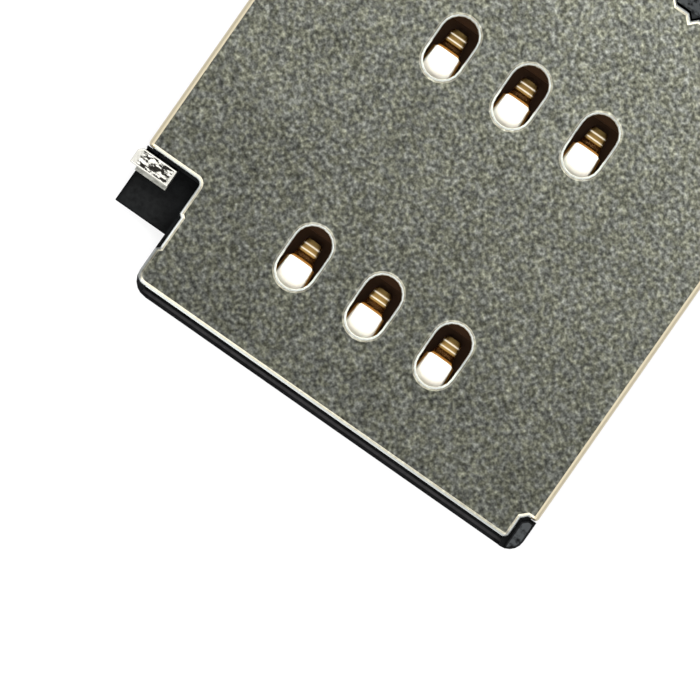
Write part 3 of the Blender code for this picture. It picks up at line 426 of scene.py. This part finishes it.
def satin_sheet(colours):
    """Satin steel: fine mottled grain, with rolled rims at the cuts and bends lit by painted
    highlights.

    The grain is 1 plus small noises, raised to a power so that its light and dark parts balance,
    and its tone rises evenly from front to rear. The rims are bare steel whitened by a painted
    highlight, warm beside the flat and cool where they are steep. Painted shade dims them towards the
    front's right end, and most at its left corner. The bends carry a warm painted highlight.
    """
    finish = Finish("satin_steel_sheet")
    place = finish.place()
    x, y, z = finish.parts(place)
    _, _, up = finish.facing()
    askew = finish.mapped(place, Rotation=ASKEW)
    fine = finish.noise(askew, GRAIN_CELLS, detail=1.0, rough=0.45)
    patches = finish.noise(askew, PATCH_CELLS, detail=1.0)
    cloud = finish.noise(askew, CLOUD_CELLS, detail=1.0)
    hue = finish.noise(askew, HUE_CELLS, detail=1.0)
    depth = GRAIN_ON_WALLS + (1 - GRAIN_ON_WALLS) * up.step(*GRAIN_UP)
    grain = 1 + depth * (fine.sway(0.60) + patches.sway(0.06)) + cloud.sway(0.05)
    grain = grain**GRAIN_POWER * (FRONT_TONE + TONE_PER_MM * y)
    bluer, warmer = (
        [part * factor for part, factor in zip(colours.sheet, shift)] for shift in (BLUER, WARMER)
    )
    sheet = finish.tint(finish.mix(hue.step(*HUE_SPLIT), bluer, warmer), grain)

    # The rolled rims get a painted highlight, which reaches further round the windows
    windows = abs(x).fall(*WINDOWS_X) * y.band(WINDOWS_FRONT_Y, WINDOWS_REAR_Y)
    start, end = (
        plain + (window - plain) * windows for plain, window in zip(RIM_UP, WINDOW_RIM_UP)
    )
    rolled = z.step(*RIM_Z) * up.fall(start, end)
    # Painted highlight: warm cream where the rims turn round the bends
    bend = rolled * abs(x).step(*BEND_X)
    # Painted shade dims the rims' highlight along the front and at the left front corner
    rim_shade = y.fall(*FRONT_RIM_Y) * (FRONT_RIM_SHADE + SHADE_PER_MM * x).most(0)
    corner = x.fall(*CORNER_X) * y.fall(*CORNER_Y)
    # Painted highlight on the rims: warm where they meet the flat, cool where they are steep
    rim = finish.mix(up.step(*RIM_WARM_UP), colours.rim_highlight_cool, colours.rim_highlight_warm)
    rim = finish.tint(rim, (1 - rim_shade) * (1 - CORNER_SHADE * corner))
    colour = finish.mix(rolled, sheet, rim)
    height = (0.9 * fine + 0.1 * patches) * (1 - rolled)
    return finish.set(
        Base_Color=finish.mix(bend, colour, colours.bend_highlight),
        Metallic=1.0,
        Roughness=0.36 + patches.sway(0.08),
        Normal=finish.bump(height, depth=0.012),
    )


def black_resin(colours):
    """Glass-filled black moulding, fine grained, with the marks of its making.

    Its painted light: a grey sheen on the tops of the bosses, a brown reflection of the gold in
    the contacts' pockets, and a paler sheen in the middle of the shelf beside the ejector and
    along the front lip.
    """
    finish = Finish("black_moulded_resin")
    place = finish.place()
    x, y, z = finish.parts(place)
    _, _, up = finish.facing()
    fine = finish.noise(place, RESIN_CELLS)
    cloud = finish.noise(place, RESIN_CLOUD_CELLS)
    fibre = finish.specks(place, FIBRE_CELLS)
    flat = up.step(*FLAT_UP)
    # Painted sheen: the flat tops at the cover's height are greyed and mottled by noise
    top_sheen = z.step(*TOP_SHEEN_Z) * flat
    # Painted reflection: the gold contacts' light, brown on the pockets' walls
    pocket_reflection = abs(x).fall(*POCKETS_X) * y.band(POCKETS_FRONT_Y, POCKETS_REAR_Y)
    pocket_reflection = pocket_reflection * z.step(*POCKETS_Z) * (1 - top_sheen)
    # Painted sheen on the middle of the shelf, fading out towards its edges and rear
    shelf = x.band(SHELF_LEFT_X, SHELF_RIGHT_X) * y.band(SHELF_FRONT_Y, SHELF_REAR_Y)
    shelf = shelf * flat * (1 - top_sheen)
    # Painted sheen along the top face of the front lip
    lip = y.band(LIP_FRONT_Y, LIP_REAR_Y) * z.fall(*LIP_Z) * up.step(*LIP_UP)

    colour = finish.tint(colours.resin, (1 + cloud.sway(4.0) + fine.sway(2.0)).most(0))
    colour = finish.mix(pocket_reflection, colour, colours.resin_pocket_gold_reflection)
    colour = finish.mix(shelf * (0.8 + fine.sway(2.0)), colour, colours.resin_shelf_sheen)
    mottled_sheen = top_sheen * (0.8 + fine.sway(5.0)).most(0).least(MOST_TOP_SHEEN)
    colour = finish.mix(mottled_sheen, colour, colours.resin_boss_sheen)
    colour = finish.mix(lip * (0.9 + fine.sway(0.8)), colour, colours.resin_lip_sheen)
    return finish.set(
        Base_Color=colour,
        Roughness=0.44 + fine.sway(0.25) + 0.15 * top_sheen,
        Specular_IOR_Level=0.05,
        Normal=finish.bump(0.6 * fine + 0.4 * fibre, depth=0.006),
    )


def gold_plating(colours):
    """Bright gold over formed copper alloy, with rolling lines along the strip.

    On a contact's formed end it carries painted light: a pale, rough painted highlight where the
    crest faces up, painted shade on the drop behind the crest and on the rolled flanks, and painted
    shade that dulls the coined tip, most so at its end.
    """
    finish = Finish("gold_plating")
    place = finish.place()
    _, _, z = finish.parts(place)
    _, ahead, up = finish.facing()
    lines = finish.noise(finish.mapped(place, Scale=ROLLING_LINES), 1.0)
    cloud = finish.noise(place, GOLD_CLOUD_CELLS)
    formed = z.step(*FORMED_Z)
    # Painted shade on the drop behind the crest
    drop = ahead.step(*DROP_AHEAD)
    # Painted highlight: pale gold where the crest faces up
    crest_glint = formed * up.step(*GLINT_UP) * ahead.fall(*GLINT_AHEAD)
    # Painted shade on the rolled flanks
    flank = formed * up.fall(*FLANK_UP) * (1 - drop)
    tip = formed * ahead.step(*TIP_AHEAD)

    # Painted shade: the coined tip's gold darkened, most at its end
    colour = finish.mix(tip, colours.gold, colours.gold_tip_shade)
    colour = finish.tint(colour, 1 - TIP_END_SHADE * tip * z.fall(*TIP_END_Z))
    colour = finish.mix(crest_glint, colour, colours.gold_highlight)
    # Painted shade on the drop: dark gold, deep gold on its steepest part
    face = finish.mix(ahead.step(*STEEP_AHEAD), colours.gold_drop_shade, colours.gold_flank_shade)
    colour = finish.mix(formed * drop, colour, face)
    colour = finish.mix(flank, colour, colours.gold_flank_shade)
    rough = 0.26 + lines.sway(0.12) + cloud.sway(0.10) + 0.34 * crest_glint.most(flank)
    return finish.set(
        Base_Color=finish.tint(colour, 1 + cloud.sway(0.22) + lines.sway(0.14)),
        Metallic=1.0,
        Roughness=rough + 0.07 * tip * (1 - drop),
        Normal=finish.bump(lines, depth=0.0025),
    )


def stamped_steel(colours):
    """Stamped steel: satin on its flats, torn and glittering on the sheared top of the rod's head,
    its pits darkened by painted shade.
    """
    finish = Finish("stamped_steel")
    place = finish.place()
    x, _, z = finish.parts(place)
    _, _, up = finish.facing()
    fine = finish.noise(place, STEEL_CELLS)
    torn = finish.noise(finish.mapped(place, Scale=TORN_SCALE), TORN_CELLS, detail=2.5, rough=0.6)
    head = z.step(*HEAD_Z)
    inner = head * up.step(*HEAD_UP) * x.band(HEAD_LEFT_X, HEAD_RIGHT_X)
    flat = finish.tint(colours.stamped, 1 + fine.sway(0.8))
    # Painted shade: the torn end's pits near black among bright sheared steel
    glitter = finish.mix(torn.step(*TORN_PITS) * inner, colours.sheared, colours.pit_shade)
    return finish.set(
        Base_Color=finish.mix(head, flat, glitter),
        Metallic=1.0,
        Roughness=0.36 + fine.sway(0.2),
        Normal=finish.bump(0.25 * fine + 1.6 * torn * inner, depth=0.03),
    )


def studio_floor(colours):
    """Pale floor that shows near white to the camera and in reflections, with a soft shadow."""
    finish = Finish("studio_floor")
    cloud = finish.noise(finish.place(), FLOOR_CLOUD_CELLS, detail=1.0)
    colour = finish.tint(colours.backdrop, 1 + cloud.sway(0.02))
    finish.set(Base_Color=colour, Roughness=0.9, Specular_IOR_Level=0.0)
    path = finish.add("ShaderNodeLightPath", {}, {}, "Is Camera Ray")
    seen = path.most(path.output("Is Glossy Ray")).most(path.output("Is Transmission Ray"))
    glow = finish.add("ShaderNodeEmission", {}, {"Color": (1, 1, 1), "Strength": 1.0})
    shadowed = Value(finish, finish.shader.outputs["BSDF"])
    both = finish.add("ShaderNodeMixShader", {}, {0: FLOOR_GLOW * seen, 1: shadowed, 2: glow})
    finish.put(finish.tree.nodes["Material Output"].inputs["Surface"], both)
    return finish.material


def rounded_path(corners, gap):
    """Points about gap apart on a line through corners (a, b, radius), its corners as true arcs.

    Each fillet touches both legs at radius / tan(half the corner's angle) from the corner; the
    pieces are joined, and the whole line is read again at even distances along it.
    """
    corners = np.array(corners, float)
    spots = [corners[0, :2]]
    for before, here, after in zip(corners[:-2], corners[1:-1], corners[2:]):
        back = (before - here)[:2] / np.linalg.norm((before - here)[:2])
        ahead = (after - here)[:2] / np.linalg.norm((after - here)[:2])
        half = math.acos(np.clip(back @ ahead, -1, 1)) / 2
        reach = here[2] / math.tan(half)
        bisector = (back + ahead) / np.linalg.norm(back + ahead)
        middle = here[:2] + bisector * here[2] / math.sin(half)
        start, end = here[:2] + back * reach - middle, here[:2] + ahead * reach - middle
        turn = math.atan2(start[0] * end[1] - start[1] * end[0], start @ end)
        angles = turn * np.linspace(0, 1, FILLET_POINTS)
        across = np.array([-start[1], start[0]])
        spots.extend(middle + np.outer(np.cos(angles), start) + np.outer(np.sin(angles), across))
    spots = np.array([*spots, corners[-1, :2]])
    run = np.concatenate([[0], np.cumsum(np.linalg.norm(np.diff(spots, axis=0), axis=1))])
    even = np.linspace(0, run[-1], max(FEWEST_POINTS, int(round(run[-1] / gap))))
    return np.stack([np.interp(even, run, spots[:, 0]), np.interp(even, run, spots[:, 1])], 1)


def grid_mesh(name, grid):
    """A closed skin over a grid of points: rows joined round, first and last row capped."""
    rows, around = grid.shape[:2]
    index = np.arange(rows * around).reshape(rows, around)
    ahead = np.roll(index, -1, axis=1)
    quads = np.stack([index[:-1], ahead[:-1], ahead[1:], index[1:]], -1).reshape(-1, 4)
    caps = [index[0][::-1].tolist(), index[-1].tolist()]
    mesh = bpy.data.meshes.new(name)
    mesh.from_pydata(grid.reshape(-1, 3).tolist(), [], quads.tolist() + caps)
    work = bmesh.new()
    work.from_mesh(mesh)
    bmesh.ops.recalc_face_normals(work, faces=work.faces)
    work.to_mesh(mesh)
    work.free()
    mesh.shade_smooth()
    mesh.set_sharp_from_angle(angle=math.radians(SHARP_ANGLE))
    return mesh


def ramp(values, start, end):
    """0 up to start, 1 from end, and a straight rise between them."""
    return np.clip((values - start) / (end - start), 0, 1)


def contact_line(low, high, sizes):
    """Centre line of a contact in the Y-Z plane, and its crest's place along Y, in millimetres.

    From the tail on the board it steps up to the root, rises straight to the crest, drops
    steeply and runs out in a shallow tip.
    """
    stock = sizes.contact_stock / MM
    start, y_crest = low.y / MM, (high.y - sizes.crest_from_tip) / MM
    tail_z = low.z / MM + stock / 2
    crest_z = high.z / MM - stock / 2 + CREST_ROUNDING
    root_z = tail_z + TAIL_CORNERS[-1][1]
    corners = [
        *((start + along, tail_z + up, radius) for along, up, radius in TAIL_CORNERS),
        (y_crest - ROOT_BEFORE_CREST, root_z, ROOT_RADIUS),
        *((y_crest + along, crest_z + up, radius) for along, up, radius in CREST_CORNERS),
    ]
    return rounded_path(corners, sizes.section_gap / MM), y_crest


def contact_width(y, y_tail, sizes):
    """Width of a contact's flat at each y from its crest, straight between the places listed."""
    tip, crest, arm = sizes.tip_width / MM, sizes.crest_width / MM, sizes.arm_width / MM
    widths = (
        (y_tail, TAIL_WIDTH),
        (-2.71, TAIL_WIDTH),
        (-2.57, ROOT_WIDTH),
        (-2.07, ROOT_WIDTH),
        (-0.95, arm),
        (-0.06, crest),
        (0.02, crest - 0.03),
        (0.12, tip + 0.07),
        (0.34, tip + 0.03),
        (0.58, tip),
        (0.66, tip - 0.10),
    )
    return np.interp(y, *zip(*widths))


def contact_grid(node, sizes):
    """A formed contact strip as a grid of points, in metres.

    Each section stands square on the centre line. With a the angle round it, its half width goes
    by the square root of cos a, and its half thickness by the fourth root of sin a, with their
    signs kept. From the arm on, the edges fall by a parabola (the crown), the flanks beside the
    flat roll down by the square of the share of them that is passed, and a cosine wave runs
    along the coined tip (the ripple).
    """
    low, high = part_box(node)
    line, y_crest = contact_line(low, high, sizes)
    slope = np.gradient(line, axis=0)
    slope /= np.linalg.norm(slope, axis=1, keepdims=True)
    normal = np.stack([-slope[:, 1], slope[:, 0]], 1)
    y = line[:, 0] - y_crest
    half_width = contact_width(y, low.y / MM - y_crest, sizes) / 2
    angle = np.linspace(0, 2 * math.pi, sizes.around, endpoint=False)
    across = (np.sign(np.cos(angle)) * np.abs(np.cos(angle)) ** 0.50)[None]
    through = (np.sign(np.sin(angle)) * np.abs(np.sin(angle)) ** 0.25)[None]

    flank = np.interp(y, *zip(*FLANK_WIDTHS))
    rolled = (1 - flank / (half_width + flank))[:, None]
    beyond = np.clip((np.abs(across) - rolled) / (1 - rolled + TINY), 0, 1)
    roll = FLANK_DROP * flank[:, None] * beyond**2
    crown = sizes.crown / MM * ramp(y, *CROWN_FROM_CREST)[:, None] * across**2
    in_tip = ramp(y, *RIPPLE_START) * (1 - ramp(y, *RIPPLE_END))
    wave = np.cos(2 * math.pi * (y - RIPPLE_CREST) / RIPPLE_LENGTH)
    ripple = (sizes.ripple / MM * in_tip * wave)[:, None]
    lift = sizes.contact_stock / MM / 2 * through - crown + ripple - roll

    grid = np.empty((len(line), sizes.around, 3))
    grid[..., 0] = (low.x + high.x) / 2 / MM + (half_width + flank)[:, None] * across
    grid[..., 1] = line[:, :1] + normal[:, :1] * lift
    grid[..., 2] = line[:, 1:] + normal[:, 1:] * lift
    return grid * MM


def dress(nodes, material):
    """Gives carried-over nodes their finished material."""
    for node in nodes:
        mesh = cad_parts[node].data
        mesh.materials.clear()
        mesh.materials.append(material)


class CARDSOCKET_OT_cover(bpy.types.Operator):
    """Finish the folded steel cover"""

    bl_idname = "card_socket.cover"
    bl_label = "Cover"

    def execute(self, context):
        dress(["cover_shell"], satin_sheet(context.scene.card_socket_colours))
        return {"FINISHED"}


class CARDSOCKET_OT_base(bpy.types.Operator):
    """Finish the moulded base"""

    bl_idname = "card_socket.base"
    bl_label = "Base"

    def execute(self, context):
        dress(["base_housing"], black_resin(context.scene.card_socket_colours))
        return {"FINISHED"}


class CARDSOCKET_OT_contacts(bpy.types.Operator):
    """Make the formed spring contacts and plate them, and the switch strips with them"""

    bl_idname = "card_socket.contacts"
    bl_label = "Contacts"

    def execute(self, context):
        plating = gold_plating(context.scene.card_socket_colours)
        for node in CONTACTS:
            mesh = grid_mesh(f"{node}_formed", contact_grid(node, context.scene.card_socket_sizes))
            mesh.materials.append(plating)
            spring = bpy.data.objects.new(f"{node}_formed", mesh)
            context.scene.collection.objects.link(spring)
            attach(spring, "socket")
            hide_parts(node)
        dress(SWITCH_STRIPS, plating)
        return {"FINISHED"}


class CARDSOCKET_OT_ejector(bpy.types.Operator):
    """Finish the push rod, the lever and the lever's pin"""

    bl_idname = "card_socket.ejector"
    bl_label = "Ejector"

    def execute(self, context):
        dress(EJECTOR_PARTS, stamped_steel(context.scene.card_socket_colours))
        return {"FINISHED"}


def make_floor(scene):
    """A flat floor just under the socket, and no piece of it."""
    reach, z = FLOOR_REACH, -FLOOR_GAP * MM
    corners = [(-reach, -reach, z), (reach, -reach, z), (reach, reach, z), (-reach, reach, z)]
    mesh = bpy.data.meshes.new("studio_floor")
    mesh.from_pydata(corners, [], [(0, 1, 2, 3)])
    mesh.materials.append(studio_floor(scene.card_socket_colours))
    floor = bpy.data.objects.new("studio_floor", mesh)
    scene.collection.objects.link(floor)


def make_softbox(scene, name, azimuth, elevation, distance, width, height, radiance):
    """A soft lamp that points at the object, as bright as a surface of that radiance."""
    lamp = bpy.data.lights.new(name, "AREA")
    lamp.shape = "RECTANGLE"
    lamp.size = width
    lamp.size_y = height
    lamp.energy = radiance * math.pi * width * height
    holder = bpy.data.objects.new(name, lamp)
    turn, rise = math.radians(azimuth), math.radians(elevation)
    away = Vector(
        (math.sin(turn) * math.cos(rise), -math.cos(turn) * math.cos(rise), math.sin(rise))
    )
    holder.location = away * distance
    holder.rotation_euler = away.to_track_quat("Z", "Y").to_euler()
    scene.collection.objects.link(holder)


def make_world(scene):
    """A white surrounding, at full strength to the camera and dimmer as light on the object."""
    world = bpy.data.worlds.new("studio_world")
    world.use_nodes = True
    scene.world = world
    nodes = Nodes(world.node_tree)
    background = world.node_tree.nodes["Background"].inputs
    seen = nodes.add("ShaderNodeLightPath", {}, {}, "Is Camera Ray")
    nodes.put(background["Color"], (1, 1, 1))
    nodes.put(background["Strength"], WORLD_LIGHT + (1 - WORLD_LIGHT) * seen)


def make_camera(scene):
    """The photograph's camera: straight above, far off with a long lens, and turned."""
    sizes = scene.card_socket_sizes
    lens = bpy.data.cameras.new("camera")
    lens.lens = sizes.camera_lens
    lens.sensor_width = SENSOR_WIDTH
    lens.clip_start = CAMERA_NEAR
    lens.clip_end = CAMERA_FAR
    camera = bpy.data.objects.new("camera", lens)
    away = sizes.picture_width * sizes.camera_lens / SENSOR_WIDTH
    camera.location = (sizes.picture_x, sizes.picture_y, COVER_HIGH.z + away)
    camera.rotation_euler = (0, 0, sizes.camera_turn)
    scene.collection.objects.link(camera)
    scene.camera = camera


class CARDSOCKET_OT_stage(bpy.types.Operator):
    """Make the floor, the lamps, the world and the camera"""

    bl_idname = "card_socket.stage"
    bl_label = "Stage"

    def execute(self, context):
        scene = context.scene
        make_floor(scene)
        for softbox in SOFTBOXES:
            make_softbox(scene, *softbox)
        make_world(scene)
        make_camera(scene)
        scene.view_settings.view_transform = "Standard"
        return {"FINISHED"}


class CARDSOCKET_PT_panel(bpy.types.Panel):
    """The socket's pieces, sizes and colours"""

    bl_idname = "CARDSOCKET_PT_panel"
    bl_label = "Card Socket"
    bl_space_type = "VIEW_3D"
    bl_region_type = "UI"
    bl_category = "Card Socket"

    def draw(self, context):
        layout = self.layout
        for operator in OPERATORS:
            layout.operator(operator.bl_idname)
        for group in (context.scene.card_socket_sizes, context.scene.card_socket_colours):
            for name in type(group).__annotations__:
                layout.prop(group, name)


OPERATORS = (
    CARDSOCKET_OT_cover,
    CARDSOCKET_OT_base,
    CARDSOCKET_OT_contacts,
    CARDSOCKET_OT_ejector,
    CARDSOCKET_OT_stage,
)
CLASSES = (SocketSizes, SocketColours, *OPERATORS, CARDSOCKET_PT_panel)


def register():
    """Registers the classes and hangs the settings on the scene."""
    for kind in CLASSES:
        bpy.utils.register_class(kind)
    bpy.types.Scene.card_socket_sizes = PointerProperty(type=SocketSizes)
    bpy.types.Scene.card_socket_colours = PointerProperty(type=SocketColours)


def unregister():
    """Undoes register."""
    del bpy.types.Scene.card_socket_colours
    del bpy.types.Scene.card_socket_sizes
    for kind in reversed(CLASSES):
        bpy.utils.unregister_class(kind)


def main():
    """Registers the add-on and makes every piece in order."""
    register()
    bpy.ops.card_socket.cover()
    bpy.ops.card_socket.base()
    bpy.ops.card_socket.contacts()
    bpy.ops.card_socket.ejector()
    bpy.ops.card_socket.stage()


if __name__ == "__main__":
    main()
